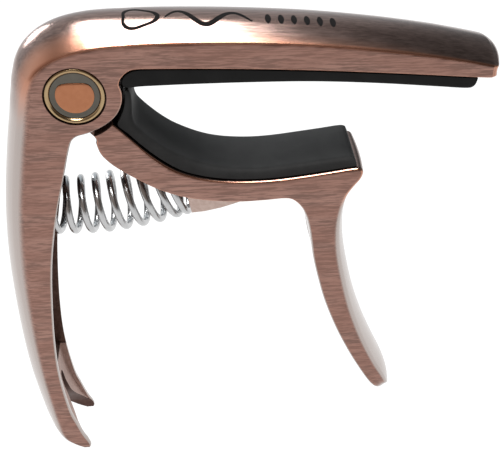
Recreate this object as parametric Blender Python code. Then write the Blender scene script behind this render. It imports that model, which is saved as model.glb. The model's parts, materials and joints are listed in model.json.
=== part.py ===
"""Trigger capo: a fixed frame with a hollow grip, and a sprung jaw with a trigger.

Sizes are millimetres in the side plane, measured from the pivot axis, X to the arm's
tip and Z up.  Y runs across the width.  The pivot is then set where the whole
assembly is centred on the origin, to a tenth of a millimetre.
"""
import bpy
import bmesh
import math
from mathutils import Vector

MM = 0.001
PIVOT_X = -29.59
PIVOT_Z = 38.29

HALF_WIDTH = 7.5
CHEEK_INNER = 5.2
CHANNEL_HALF = 6.1
FOOT_HALF = 5.9
POCKET_HALF = 6.35
KNUCKLE_HALF = 4.4
KNUCKLE_RADIUS = 6.2
SHOULDER_RADIUS = 8.5
PIN_RADIUS = 2.5
BORE_RADIUS = 2.7
SEAT_RADIUS = 5.6
SEAT_DEPTH = 1.3
UPPER_PAD_HALF = 7.2
LOWER_PAD_HALF = 6.85
COIL_RADIUS = 5.3
COIL_END_RADIUS = 4.9
WIRE_RADIUS = 0.7
COIL_PITCH = 3.1
PEG_RADIUS = 3.6

# Side outline of the frame, tip of the arm round to the tip of the grip:
# crease point x z, inner edge point x z, crown height, half width
FRAME_LINE = [
    (76.0, 2.5, 76.0, 1.7, 0.6, 3.6),
    (75.85, 2.85, 75.8, 1.35, 1.1, 5.6),
    (75.5, 3.1, 75.4, 1.15, 1.5, 6.75),
    (74.8, 3.35, 74.7, 1.1, 1.75, 7.3),
    (73.8, 3.6, 73.7, 1.1, 1.9, 7.5),
    (69.0, 4.6, 68.9, 1.45, 2.1, 7.5),
    (63.0, 5.7, 62.8, 2.0, 2.3, 7.5),
    (53.3, 7.1, 53.0, 2.8, 2.55, 7.5),
    (42.0, 8.4, 41.8, 3.6, 2.65, 7.5),
    (30.9, 9.15, 30.9, 4.2, 2.75, 7.5),
    (20.5, 9.45, 20.8, 4.6, 2.95, 7.5),
    (13.0, 9.4, 13.6, 4.8, 3.2, 7.5),
    (9.0, 9.25, 10.9, 4.8, 3.3, 7.5),
    (6.8, 9.15, 9.75, 4.45, 3.4, 7.5),
    (4.9, 8.95, 8.85, 3.75, 3.55, 7.5),
    (3.2, 8.7, 8.15, 2.8, 3.7, 7.5),
    (1.6, 8.35, 7.95, 1.9, 3.85, 7.5),
    (0.0, 7.95, 8.15, 1.1, 3.95, 7.5),
    (-1.6, 7.45, 8.35, 0.1, 4.0, 7.5),
    (-3.0, 6.85, 8.25, -1.3, 4.0, 7.5),
    (-4.3, 6.1, 7.75, -2.8, 4.0, 7.5),
    (-5.5, 5.2, 6.95, -4.1, 3.95, 7.5),
    (-6.5, 4.2, 5.75, -5.3, 3.85, 7.5),
    (-7.3, 3.0, 4.2, -6.35, 3.7, 7.5),
    (-7.9, 1.6, 2.5, -7.15, 3.55, 7.5),
    (-8.4, 0.1, 1.0, -7.65, 3.45, 7.5),
    (-8.8, -1.6, -0.4, -8.05, 3.35, 7.5),
    (-9.3, -3.8, -1.35, -8.85, 3.3, 7.5),
    (-9.85, -6.5, -1.95, -10.3, 3.2, 7.5),
    (-10.6, -10.2, -2.7, -13.0, 3.2, 7.5),
    (-11.6, -16.0, -3.8, -17.3, 3.25, 7.5),
    (-12.6, -22.5, -5.3, -22.8, 3.3, 7.45),
    (-13.4, -29.5, -6.75, -29.2, 3.35, 7.35),
    (-13.95, -38.0, -8.2, -37.5, 3.4, 7.2),
    (-14.05, -47.5, -9.2, -47.2, 3.45, 7.1),
    (-13.8, -58.0, -9.85, -57.8, 3.5, 7.05),
    (-13.2, -67.5, -9.8, -67.0, 3.5, 7.0),
    (-12.2, -77.0, -8.7, -76.8, 3.2, 7.0),
    (-11.6, -82.0, -7.5, -81.3, 2.8, 7.0),
    (-11.2, -84.3, -6.4, -84.8, 2.4, 7.0),
    (-10.2, -86.3, -5.5, -86.8, 1.9, 7.0),
    (-8.3, -87.9, -5.1, -88.1, 1.2, 7.0),
    (-6.6, -88.9, -5.4, -88.9, 0.6, 6.9),
]

# Side outline of the jaw lever, knuckle out along the cradle and down the trigger
JAW_LINE = [
    (3.4, -3.4, 0.7, -5.2, 0.0, 7.5),
    (6.4, -5.9, 2.9, -8.5, 0.0, 7.5),
    (8.6, -8.2, 2.95, -9.7, 0.0, 7.5),
    (10.8, -10.6, 3.6, -11.9, 0.0, 7.5),
    (12.5, -12.3, 5.1, -13.85, 0.0, 7.5),
    (14.2, -13.8, 7.1, -15.6, 0.0, 7.5),
    (16.2, -15.35, 10.0, -17.7, 0.0, 7.5),
    (18.9, -16.8, 13.6, -19.95, 0.0, 7.5),
    (22.5, -18.0, 18.0, -21.8, 0.0, 7.5),
    (26.5, -18.7, 23.0, -22.9, 0.0, 7.5),
    (31.0, -18.95, 28.5, -23.45, 0.0, 7.5),
    (36.0, -18.8, 33.5, -23.35, 0.0, 7.5),
    (41.5, -18.2, 37.2, -23.1, 0.0, 7.5),
    (46.5, -17.5, 38.9, -23.35, 0.0, 7.5),
    (50.2, -16.95, 40.1, -24.3, 0.0, 7.5),
    (51.7, -16.95, 41.0, -25.5, 0.1, 7.5),
    (52.35, -17.9, 41.5, -26.6, 0.4, 7.5),
    (51.9, -19.4, 41.95, -27.8, 0.8, 7.5),
    (50.6, -21.2, 42.3, -29.2, 1.2, 7.5),
    (49.3, -23.4, 42.7, -31.2, 1.5, 7.5),
    (48.5, -26.6, 43.1, -34.0, 1.7, 7.5),
    (48.15, -30.8, 43.6, -37.6, 1.8, 7.5),
    (48.5, -36.4, 44.7, -42.6, 1.8, 7.5),
    (49.8, -43.2, 46.4, -48.9, 1.7, 7.5),
    (51.9, -51.5, 49.2, -56.6, 1.6, 7.4),
    (54.7, -59.6, 52.5, -63.9, 1.5, 7.3),
    (57.8, -66.6, 55.8, -70.1, 1.3, 7.2),
    (60.0, -70.8, 57.8, -73.4, 1.0, 6.9),
    (61.3, -73.6, 59.3, -75.2, 0.8, 6.1),
    (62.0, -75.4, 60.7, -76.4, 0.5, 4.5),
    (62.3, -76.5, 61.5, -77.0, 0.2, 2.6),
]

# Pads: free surface point x z, metal side point x z
UPPER_PAD_LINE = [
    (8.6, 1.35, 8.4, 2.1),
    (9.4, 1.2, 8.75, 3.2),
    (10.4, 1.25, 9.6, 4.05),
    (11.7, 1.35, 11.0, 4.55),
    (13.8, 1.4, 13.7, 4.6),
    (20.8, 1.5, 20.8, 4.4),
    (30.9, 1.5, 30.9, 4.0),
    (41.8, 1.3, 41.8, 3.4),
    (53.0, 0.6, 53.0, 2.6),
    (64.2, -0.45, 64.3, 1.7),
    (69.5, -0.98, 69.9, 1.2),
    (71.0, -0.85, 71.5, 1.08),
    (71.9, -0.1, 72.2, 1.02),
]
LOWER_PAD_LINE = [
    (9.35, 0.75, 8.8, 0.75),
    (9.8, -0.4, 8.8, -0.7),
    (9.85, -2.6, 8.45, -2.8),
    (9.75, -4.9, 7.7, -4.7),
    (10.15, -6.6, 7.1, -6.25),
    (11.3, -8.1, 8.8, -8.0),
    (13.2, -10.0, 11.0, -10.4),
    (15.6, -12.0, 14.35, -13.55),
    (18.4, -13.7, 17.9, -16.05),
    (22.0, -15.3, 21.5, -17.45),
    (25.5, -16.25, 25.2, -18.25),
    (29.2, -16.7, 29.0, -18.65),
    (33.0, -16.8, 33.0, -18.7),
    (37.0, -16.5, 37.0, -18.5),
    (41.0, -16.0, 41.0, -18.05),
    (45.5, -15.45, 45.7, -17.4),
    (49.2, -14.95, 49.5, -16.85),
    (50.5, -15.15, 50.9, -16.7),
    (51.0, -15.9, 51.2, -16.6),
]

# Floor of the grip's hollow, and the open side of it
CHANNEL = [
    (4.0, -10.6), (-6.0, -10.6), (-9.6, -12.2), (-10.9, -16.5), (-11.9, -22.5), (-12.7, -29.5),
    (-13.2, -38.0), (-13.3, -47.5), (-13.1, -58.0), (-12.7, -65.0), (-11.9, -67.6),
    (-10.9, -68.4), (4.0, -68.4),
]
# Shallow recess in the solid foot, from the hollow down to the fork's tips
FOOT_STEP = [
    (2.0, -66.0), (-11.2, -66.0), (-10.8, -70.0), (-10.1, -75.0), (-9.1, -79.0), (-7.7, -83.0),
    (-6.2, -86.0), (2.0, -86.0),
]
# Fork for pulling bridge pins, half width against height
FORK = [
    (0.0, -71.5), (0.8, -71.9), (1.15, -73.2), (1.3, -76.6), (1.7, -78.8), (2.8, -81.0), (4.2, -83.1),
    (5.4, -85.2), (6.1, -87.2), (6.15, -92.0),
]
# Space between the cheeks that the jaw's tongue swings in
CHEEK_SPACE = [(0.0, 0.0), (10.5, -2.6), (10.5, -12.0), (-2.2, -12.0), (-6.4, -3.4)]
# Pocket under the cradle for the end of the spring, and the lug behind it
POCKET = [(7.6, -23.0), (8.4, -16.7), (12.6, -17.0), (17.2, -17.6), (18.1, -18.6), (20.2, -29.0), (7.6, -29.0)]
LUG = [
    (18.3, -19.6), (19.75, -26.7), (22.2, -26.5), (25.4, -25.8), (27.9, -25.0), (32.0, -23.6),
    (33.0, -21.0), (24.0, -20.0),
]
# Web under the knuckle, between the cheeks
TONGUE = [(0.0, -5.0), (1.1, -8.3), (3.1, -10.6), (5.4, -10.4), (4.0, -4.0)]
# Hollow in the back of the trigger
TRIGGER_HOLLOW = [
    (38.0, -36.0), (44.6, -36.0), (46.4, -38.5), (47.3, -43.0), (48.7, -48.0), (50.8, -54.0),
    (53.4, -60.2), (55.2, -64.0), (54.2, -65.6), (44.0, -68.0),
]


def clear_scene():
    """Start from an empty file."""
    for obj in list(bpy.data.objects):
        bpy.data.objects.remove(obj, do_unlink=True)


def new_collection(name, hidden=False):
    """A collection, out of the render when it holds cutters."""
    coll = bpy.data.collections.new(name)
    coll.hide_render = hidden
    bpy.context.scene.collection.children.link(coll)
    return coll


def material(name, color, metallic, roughness):
    """A plain Principled material."""
    mat = bpy.data.materials.new(name)
    mat.use_nodes = True
    bsdf = mat.node_tree.nodes["Principled BSDF"]
    bsdf.inputs["Base Color"].default_value = (*color, 1.0)
    bsdf.inputs["Metallic"].default_value = metallic
    bsdf.inputs["Roughness"].default_value = roughness
    return mat


def place(obj, coll, mat):
    """Put a piece on the pivot and give it its own material."""
    coll.objects.link(obj)
    obj.location = (PIVOT_X * MM, 0.0, PIVOT_Z * MM)
    obj.data.materials.append(mat)
    return obj


def mesh_object(name, verts, faces):
    """A mesh object from millimetre points, faces turned outwards."""
    bm = bmesh.new()
    made = [bm.verts.new(Vector(v) * MM) for v in verts]
    for face in faces:
        bm.faces.new([made[i] for i in face])
    bmesh.ops.recalc_face_normals(bm, faces=bm.faces)
    mesh = bpy.data.meshes.new(name)
    bm.to_mesh(mesh)
    bm.free()
    return bpy.data.objects.new(name, mesh)


def smooth_rows(rows, steps):
    """Catmull-Rom points through the rows, with the given steps in each span."""
    out = []
    count = len(rows)
    for i in range(count - 1):
        a = rows[max(i - 1, 0)]
        b = rows[i]
        c = rows[i + 1]
        d = rows[min(i + 2, count - 1)]
        for s in range(steps):
            t = s / steps
            out.append([
                0.5 * (2 * q + (r - p) * t + (2 * p - 5 * q + 4 * r - u) * t * t
                       + (3 * q - p - 3 * r + u) * t ** 3)
                for p, q, r, u in zip(a, b, c, d)
            ])
    out.append(list(rows[-1]))
    return out


def side_normal(points, i, away):
    """Unit normal of a side-plane line at point i, on the side facing away from a point."""
    a = points[max(i - 1, 0)]
    b = points[min(i + 1, len(points) - 1)]
    nx, nz = b[1] - a[1], a[0] - b[0]
    length = math.hypot(nx, nz) or 1.0
    nx, nz = nx / length, nz / length
    if nx * (points[i][0] - away[0]) + nz * (points[i][1] - away[1]) < 0:
        nx, nz = -nx, -nz
    return nx, nz


def skin(name, rings):
    """Closed body from equal rings, with flat ends."""
    size = len(rings[0])
    verts = [p for ring in rings for p in ring]
    faces = []
    for r in range(len(rings) - 1):
        for k in range(size):
            n = (k + 1) % size
            faces.append((r * size + k, r * size + n, (r + 1) * size + n, (r + 1) * size + k))
    faces.append(tuple(range(size)))
    last = (len(rings) - 1) * size
    faces.append(tuple(last + k for k in range(size)))
    return mesh_object(name, verts, faces)


def casting(name, line, steps, outer_chamfer, inner_chamfer):
    """Flat-sided strip with a crowned outer face and broken edges."""
    rows = smooth_rows(line, steps)
    outer = [(r[0], r[1]) for r in rows]
    inner = [(r[2], r[3]) for r in rows]
    rings = []
    for i, row in enumerate(rows):
        crown, half = row[4], min(row[5], HALF_WIDTH)
        on = side_normal(outer, i, inner[i])
        inn = side_normal(inner, i, outer[i])
        gap = math.hypot(outer[i][0] - inner[i][0], outer[i][1] - inner[i][1])
        oc = min(outer_chamfer, gap * 0.3, half * 0.2)
        ic = min(inner_chamfer, gap * 0.3, half * 0.2)
        ox, oz = outer[i]
        ix, iz = inner[i]
        side = [(ix, -(half - ic), iz), (ix - inn[0] * ic, -half, iz - inn[1] * ic)]
        if outer_chamfer:
            side.append((ox - on[0] * oc, -half, oz - on[1] * oc))
        flat = half - oc if outer_chamfer else half
        side.append((ox, -flat, oz))
        for t in (0.86, 0.62, 0.32):
            lift = crown * (1 - t * t)
            side.append((ox + on[0] * lift, -t * flat, oz + on[1] * lift))
        top = (ox + on[0] * crown, 0.0, oz + on[1] * crown)
        rings.append(side + [top] + [(x, -y, z) for x, y, z in reversed(side)])
    return skin(name, rings)


def pad(name, line, steps, width, radius):
    """Soft strip, square on the metal side and rounded along its free edges."""
    rows = smooth_rows(line, steps)
    outer = [(r[0], r[1]) for r in rows]
    inner = [(r[2], r[3]) for r in rows]
    rings = []
    for i in range(len(rows)):
        on = side_normal(outer, i, inner[i])
        gap = math.hypot(outer[i][0] - inner[i][0], outer[i][1] - inner[i][1])
        r = min(radius, gap * 0.45)
        end = min(i, len(rows) - 1 - i)
        half = width - (0.5, 0.15, 0.0)[min(end, 2)]
        side = [(inner[i][0], -half, inner[i][1])]
        for angle in (0, 30, 60, 90):
            a = math.radians(angle)
            drop = r * (1 - math.sin(a))
            side.append((outer[i][0] - on[0] * drop, -(half - r * (1 - math.cos(a))), outer[i][1] - on[1] * drop))
        rings.append(side + [(x, -y, z) for x, y, z in reversed(side)])
    return skin(name, rings)


def prism(name, outline, low, high):
    """Side-plane outline carried across Y from low to high."""
    verts = [(x, low, z) for x, z in outline] + [(x, high, z) for x, z in outline]
    n = len(outline)
    faces = [tuple(range(n)), tuple(range(2 * n - 1, n - 1, -1))]
    faces += [(k, (k + 1) % n, n + (k + 1) % n, n + k) for k in range(n)]
    return mesh_object(name, verts, faces)


def disc(name, profile, sides, inner=False):
    """Body turned about Y from radius and Y pairs, closed on the axis unless it has a hole."""
    verts = []
    faces = []
    rows = len(profile)
    for s in range(sides):
        a = 2 * math.pi * s / sides
        for radius, y in profile:
            verts.append((radius * math.cos(a), y, radius * math.sin(a)))
    for s in range(sides):
        t = (s + 1) % sides
        for k in range(rows - 1):
            faces.append((s * rows + k, t * rows + k, t * rows + k + 1, s * rows + k + 1))
        if inner:
            faces.append((s * rows + rows - 1, t * rows + rows - 1, t * rows, s * rows))
    if not inner:
        faces.append(tuple(s * rows for s in range(sides)))
        faces.append(tuple(s * rows + rows - 1 for s in range(sides)))
    return mesh_object(name, verts, faces)


def rod(name, start, direction, radius, length, sides):
    """Round bar in the side plane from a start point along a direction."""
    dx, dz = direction
    size = math.hypot(dx, dz)
    dx, dz = dx / size, dz / size
    verts = []
    for step in (0.0, length):
        for s in range(sides):
            a = 2 * math.pi * s / sides
            up = radius * math.cos(a)
            verts.append((start[0] + dx * step - dz * up, radius * math.sin(a), start[1] + dz * step + dx * up))
    faces = [tuple(range(sides)), tuple(range(2 * sides - 1, sides - 1, -1))]
    faces += [(k, (k + 1) % sides, sides + (k + 1) % sides, sides + k) for k in range(sides)]
    return mesh_object(name, verts, faces)


def combine(obj, tool, operation, cutters):
    """Exact Boolean of a tool on a piece, kept as a modifier."""
    cutters.objects.link(tool)
    tool.location = obj.location
    tool.hide_render = True
    tool.display_type = 'WIRE'
    mod = obj.modifiers.new(tool.name, 'BOOLEAN')
    mod.operation = operation
    mod.solver = 'EXACT'
    mod.object = tool


def build_frame(coll, cutters):
    """Arm, pivot cheeks and hollow grip, cast in one."""
    metal = material("frame brushed copper", (0.28, 0.16, 0.13), 1.0, 0.38)
    frame = place(casting("frame", FRAME_LINE, 2, 0.0, 0.35), coll, metal)
    combine(frame, prism("cut channel", CHANNEL, -CHANNEL_HALF, CHANNEL_HALF), 'DIFFERENCE', cutters)
    combine(frame, prism("cut foot step", FOOT_STEP, -FOOT_HALF, FOOT_HALF), 'DIFFERENCE', cutters)
    right = [(x, y) for x, y in FORK]
    left = [(-x, y) for x, y in reversed(FORK[1:])]
    fork = prism("cut fork", left + right, -20.0, 3.0)
    for vert in fork.data.vertices:
        x, y, z = vert.co
        vert.co = (y, x, z)
    fork.data.flip_normals()
    combine(frame, fork, 'DIFFERENCE', cutters)
    combine(frame, prism("cut cheek space", CHEEK_SPACE, -CHEEK_INNER, CHEEK_INNER), 'DIFFERENCE', cutters)
    eye = disc("cut knuckle eye", [(6.6, -CHEEK_INNER), (6.6, CHEEK_INNER)], 40)
    combine(frame, eye, 'DIFFERENCE', cutters)
    bore = disc("cut frame bore", [(BORE_RADIUS, -9.0), (BORE_RADIUS, 9.0)], 32)
    combine(frame, bore, 'DIFFERENCE', cutters)
    for side, name in ((-1, "near"), (1, "far")):
        seat = [(SEAT_RADIUS, side * (HALF_WIDTH - SEAT_DEPTH)), (SEAT_RADIUS, side * 9.0)]
        combine(frame, disc("cut cap seat " + name, seat, 48), 'DIFFERENCE', cutters)
    peg = rod("add frame spring peg", (-13.4, -27.35), (1.0, 0.0), PEG_RADIUS, 3.6, 20)
    combine(frame, peg, 'UNION', cutters)
    return frame


def build_jaw(coll, cutters):
    """Knuckle, cradle and trigger, cast in one."""
    metal = material("jaw brushed copper", (0.28, 0.16, 0.13), 1.0, 0.38)
    jaw = place(casting("jaw_lever", JAW_LINE, 2, 0.6, 0.35), coll, metal)
    knuckle = disc("add knuckle", [(KNUCKLE_RADIUS, -6.0), (KNUCKLE_RADIUS, 6.0)], 40)
    combine(jaw, knuckle, 'UNION', cutters)
    for side, name in ((-1, "near"), (1, "far")):
        ring = [(SHOULDER_RADIUS, side * KNUCKLE_HALF), (SHOULDER_RADIUS, side * 9.0)]
        combine(jaw, disc("cut shoulder " + name, ring, 64), 'DIFFERENCE', cutters)
    combine(jaw, disc("cut knuckle bore", [(BORE_RADIUS, -9.0), (BORE_RADIUS, 9.0)], 32), 'DIFFERENCE', cutters)
    combine(jaw, prism("add tongue", TONGUE, -KNUCKLE_HALF + 0.1, KNUCKLE_HALF - 0.1), 'UNION', cutters)
    combine(jaw, prism("add lug", LUG, -5.5, 5.5), 'UNION', cutters)
    combine(jaw, prism("cut pocket", POCKET, -POCKET_HALF, POCKET_HALF), 'DIFFERENCE', cutters)
    combine(jaw, rod("add jaw spring peg", (19.4, -22.2), (-0.97, -0.22), PEG_RADIUS - 0.4, 3.4, 20), 'UNION', cutters)
    combine(jaw, prism("cut trigger hollow", TRIGGER_HOLLOW, -5.3, 5.3), 'DIFFERENCE', cutters)
    return jaw


def build_pads(coll):
    """String pad under the arm and neck pad in the cradle."""
    upper = pad("upper_pad", UPPER_PAD_LINE, 2, UPPER_PAD_HALF, 0.8)
    place(upper, coll, material("upper pad silicone", (0.02, 0.02, 0.02), 0.0, 0.6))
    lower = pad("lower_pad", LOWER_PAD_LINE, 2, LOWER_PAD_HALF, 1.2)
    place(lower, coll, material("lower pad silicone", (0.03, 0.03, 0.03), 0.0, 0.6))


def build_pivot(coll):
    """Pin, side spacers and the button caps let into both cheeks."""
    steel = material("pin steel", (0.5, 0.5, 0.5), 1.0, 0.3)
    place(disc("pivot_pin", [(PIN_RADIUS - 0.3, -6.0), (PIN_RADIUS, -5.7), (PIN_RADIUS, 5.7),
                             (PIN_RADIUS - 0.3, 6.0)], 28), coll, steel)
    for side, name in ((-1, "near"), (1, "far")):
        spacer = [(2.75, side * 4.55), (5.6, side * 4.55), (5.6, side * 5.05), (2.75, side * 5.05)]
        place(disc("spacer_" + name, spacer, 32, True), coll,
              material("spacer nylon " + name, (0.7, 0.68, 0.6), 0.0, 0.5))
        ring = [(4.55, side * 6.35), (5.28, side * 6.35), (5.28, side * 7.2), (5.1, side * 7.42),
                (4.85, side * 7.46), (4.55, side * 7.25)]
        place(disc("cap_rim_" + name, ring, 48, True), coll,
              material("cap rim brass " + name, (0.45, 0.32, 0.14), 1.0, 0.2))
        dish = [(3.1, side * 6.35), (4.4, side * 6.35), (4.4, side * 7.2), (3.1, side * 6.95)]
        place(disc("cap_dish_" + name, dish, 48, True), coll,
              material("cap dish nickel " + name, (0.32, 0.32, 0.29), 1.0, 0.25))
        plug = [(2.95, side * 6.35), (2.95, side * 6.95), (2.6, side * 7.12), (1.3, side * 7.2)]
        place(disc("cap_plug_" + name, plug, 36), coll,
              material("cap plug copper " + name, (0.6, 0.25, 0.1), 1.0, 0.3))


def coil_axis(x):
    """Height and slope of the spring's bowed axis."""
    lift = max(0.0, x + 4.0)
    return -27.35 + 0.0085 * lift * lift, 0.017 * lift


def build_spring(coll):
    """Compression spring between the grip and the cradle, wound right-handed."""
    start, end = -10.7, 16.0
    anchor = -1.15
    points = []
    turns = (end - start) / COIL_PITCH
    steps = int(turns * 16)
    for i in range(steps + 1):
        x = start + (end - start) * i / steps
        angle = 2 * math.pi * (x - anchor) / COIL_PITCH
        height, slope = coil_axis(x)
        size = math.hypot(1.0, slope)
        swell = min(1.0, max(0.0, (x + 9.0) / 12.0))
        radius = COIL_END_RADIUS + (COIL_RADIUS - COIL_END_RADIUS) * swell
        up = radius * math.cos(angle)
        points.append((x - up * slope / size, -radius * math.sin(angle), height + up / size))
    curve = bpy.data.curves.new("spring", 'CURVE')
    curve.dimensions = '3D'
    curve.bevel_depth = WIRE_RADIUS * MM
    curve.bevel_resolution = 2
    curve.use_fill_caps = True
    line = curve.splines.new('POLY')
    line.points.add(len(points) - 1)
    for target, point in zip(line.points, points):
        target.co = (*(Vector(point) * MM), 1.0)
    obj = bpy.data.objects.new("spring", curve)
    place(obj, coll, material("spring chrome", (0.7, 0.7, 0.7), 1.0, 0.15))


def main():
    clear_scene()
    coll = new_collection("trigger capo")
    cutters = new_collection("cutters", hidden=True)
    build_frame(coll, cutters)
    build_jaw(coll, cutters)
    build_pads(coll)
    build_pivot(coll)
    build_spring(coll)


main()
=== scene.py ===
import bpy
import bmesh
import json
import math
import numpy as np
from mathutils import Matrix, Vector
from mathutils.bvhtree import BVHTree

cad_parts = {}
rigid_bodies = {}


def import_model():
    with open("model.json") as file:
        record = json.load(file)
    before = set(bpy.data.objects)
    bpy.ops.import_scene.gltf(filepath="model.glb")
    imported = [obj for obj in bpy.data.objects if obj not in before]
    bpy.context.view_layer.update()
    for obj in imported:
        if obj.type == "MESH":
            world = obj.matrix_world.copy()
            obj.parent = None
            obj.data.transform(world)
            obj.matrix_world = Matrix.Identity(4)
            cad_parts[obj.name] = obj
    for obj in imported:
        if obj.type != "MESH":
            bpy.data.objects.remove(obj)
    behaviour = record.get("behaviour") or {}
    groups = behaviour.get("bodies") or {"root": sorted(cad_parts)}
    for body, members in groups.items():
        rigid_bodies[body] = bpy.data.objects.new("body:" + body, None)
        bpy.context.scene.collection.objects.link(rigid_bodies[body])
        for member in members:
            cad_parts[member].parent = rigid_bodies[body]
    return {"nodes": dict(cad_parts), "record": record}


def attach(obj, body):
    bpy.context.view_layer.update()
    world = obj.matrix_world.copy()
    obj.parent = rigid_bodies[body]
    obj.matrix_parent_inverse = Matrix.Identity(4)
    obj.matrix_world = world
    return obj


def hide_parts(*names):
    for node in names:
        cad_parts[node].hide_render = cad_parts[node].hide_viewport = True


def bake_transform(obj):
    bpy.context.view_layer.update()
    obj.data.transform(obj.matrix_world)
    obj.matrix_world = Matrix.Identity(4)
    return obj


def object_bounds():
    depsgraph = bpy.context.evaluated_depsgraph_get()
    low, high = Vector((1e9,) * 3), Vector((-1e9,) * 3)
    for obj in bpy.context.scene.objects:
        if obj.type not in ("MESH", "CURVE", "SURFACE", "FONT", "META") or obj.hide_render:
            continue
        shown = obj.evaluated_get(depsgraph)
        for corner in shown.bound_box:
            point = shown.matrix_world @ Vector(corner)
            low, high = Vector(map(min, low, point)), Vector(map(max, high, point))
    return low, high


for spare in list(bpy.data.objects):
    bpy.data.objects.remove(spare, do_unlink=True)
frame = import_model()
cad_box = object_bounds()
MM = 0.001
HINGE = Vector(frame["record"]["behaviour"]["joints"][0]["pos_m"])

# Frame: the padded arm, the two cheeks and the hollow grip are one zinc casting, plated
# copper-rose.  The flat sides are brushed, the crowned back is polished and the hollows are
# left as cast, coloured darker as painted shade.
# Side outline: crease x z, inner edge x z, crown height, half width, softness of the crease.
FRAME_LINE = [
    (76.0, 2.5, 76.0, 1.7, 0.6, 3.6, 0.2), (75.85, 2.85, 75.8, 1.35, 1.1, 5.6, 0.25),
    (75.5, 3.1, 75.4, 1.15, 1.5, 6.75, 0.3), (74.8, 3.35, 74.7, 1.1, 1.75, 7.3, 0.35),
    (73.8, 3.6, 73.7, 1.1, 1.9, 7.5, 0.4), (69.0, 4.6, 68.9, 1.45, 2.1, 7.5, 0.45),
    (63.0, 5.7, 62.8, 2.0, 2.3, 7.5, 0.5), (53.3, 7.1, 53.0, 2.8, 2.55, 7.5, 0.55),
    (42.0, 8.4, 41.8, 3.6, 2.65, 7.5, 0.55), (30.9, 9.15, 30.9, 4.2, 2.75, 7.5, 0.55),
    (20.5, 9.45, 20.8, 4.6, 2.95, 7.5, 0.55), (13.0, 9.4, 13.6, 4.8, 3.2, 7.5, 0.5),
    (9.0, 9.25, 10.9, 4.8, 3.3, 7.5, 0.45), (6.8, 9.15, 9.75, 4.45, 3.4, 7.5, 0.45),
    (4.9, 8.95, 8.85, 3.75, 3.55, 7.5, 0.45), (3.2, 8.7, 8.15, 2.8, 3.7, 7.5, 0.45),
    (1.6, 8.35, 7.95, 1.9, 3.85, 7.5, 0.45), (0.0, 7.95, 8.15, 1.1, 3.95, 7.5, 0.45),
    (-1.6, 7.45, 8.35, 0.1, 4.0, 7.5, 0.4), (-3.0, 6.85, 8.25, -1.3, 4.0, 7.5, 0.45),
    (-4.3, 6.1, 7.75, -2.8, 4.0, 7.5, 0.5), (-5.5, 5.2, 6.95, -4.1, 3.95, 7.5, 0.6),
    (-6.5, 4.2, 5.75, -5.3, 3.85, 7.5, 0.75), (-7.3, 3.0, 4.2, -6.35, 3.7, 7.5, 0.9),
    (-7.9, 1.6, 2.5, -7.15, 3.55, 7.5, 1.1), (-8.4, 0.1, 1.0, -7.65, 3.45, 7.5, 1.3),
    (-8.8, -1.6, -0.4, -8.05, 3.35, 7.5, 1.5), (-9.3, -3.8, -1.35, -8.85, 3.3, 7.5, 1.6),
    (-9.85, -6.5, -1.95, -10.3, 3.2, 7.5, 1.7), (-10.6, -10.2, -2.7, -13.0, 3.2, 7.5, 1.8),
    (-11.6, -16.0, -3.8, -17.3, 3.25, 7.5, 1.8), (-12.6, -22.5, -5.3, -22.8, 3.3, 7.45, 1.8),
    (-13.4, -29.5, -6.75, -29.2, 3.35, 7.35, 1.8), (-13.95, -38.0, -8.2, -37.5, 3.4, 7.2, 1.8),
    (-14.05, -47.5, -9.2, -47.2, 3.45, 7.1, 1.8), (-13.8, -58.0, -9.85, -57.8, 3.5, 7.05, 1.8),
    (-13.2, -67.5, -9.8, -67.0, 3.5, 7.0, 1.7), (-12.2, -77.0, -8.7, -76.8, 3.2, 7.0, 1.5),
    (-11.6, -82.0, -7.5, -81.3, 2.8, 7.0, 1.3), (-11.2, -84.3, -6.4, -84.8, 2.4, 7.0, 1.0),
    (-10.2, -86.3, -5.5, -86.8, 1.9, 7.0, 0.7), (-8.3, -87.9, -5.1, -88.1, 1.2, 7.0, 0.5),
    (-6.6, -88.9, -5.4, -88.9, 0.6, 6.9, 0.3),
]
HALF_WIDTH = 7.5
GRIP_CHANNEL = [
    (4.0, -10.6), (-6.0, -10.6), (-9.6, -12.2), (-10.9, -16.5), (-11.9, -22.5), (-12.7, -29.5),
    (-13.2, -38.0), (-13.3, -47.5), (-13.1, -58.0), (-12.7, -65.0), (-11.9, -67.6),
    (-10.9, -68.4), (4.0, -68.4),
]
FOOT_STEP = [
    (2.0, -66.0), (-11.2, -66.0), (-10.8, -70.0), (-10.1, -75.0), (-9.1, -79.0), (-7.7, -83.0),
    (-6.2, -86.0), (2.0, -86.0),
]
FORK_NOTCH = [
    (0.0, -71.5), (0.8, -71.9), (1.15, -73.2), (1.3, -76.6), (1.7, -78.8), (2.8, -81.0), (4.2, -83.1),
    (5.4, -85.2), (6.1, -87.2), (6.15, -92.0),
]
CHEEK_SPACE = [(0.0, 0.0), (10.5, -2.6), (10.5, -12.0), (-2.2, -12.0), (-6.4, -3.4)]
CHEEK_INNER = 5.2
CHANNEL_HALF = 6.1
FOOT_HALF = 5.9
BORE_RADIUS = 2.7
SEAT_RADIUS = 5.6


def flow(rows, steps):
    """Smooth rows through a table's rows, with the given steps in each span."""
    rows = np.array(rows, float)
    ends = np.vstack([rows[:1], rows, rows[-1:]])
    out = []
    for a, b, c, d in zip(ends, ends[1:], ends[2:], ends[3:]):
        for t in np.arange(steps) / steps:
            out.append(0.5 * (2 * b + (c - a) * t + (2 * a - 5 * b + 4 * c - d) * t * t
                              + (3 * b - a - 3 * c + d) * t ** 3))
    return np.array(out + [rows[-1]])


def away(line, other):
    """Unit normals of a side-plane line, pointing away from another line."""
    run = np.gradient(line, axis=0)
    normal = np.stack([run[:, 1], -run[:, 0]], 1)
    normal /= np.maximum(np.linalg.norm(normal, axis=1), 1e-9)[:, None]
    turn = np.sign((normal * (line - other)).sum(1))
    return normal * np.where(turn == 0, 1, turn)[:, None]


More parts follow.
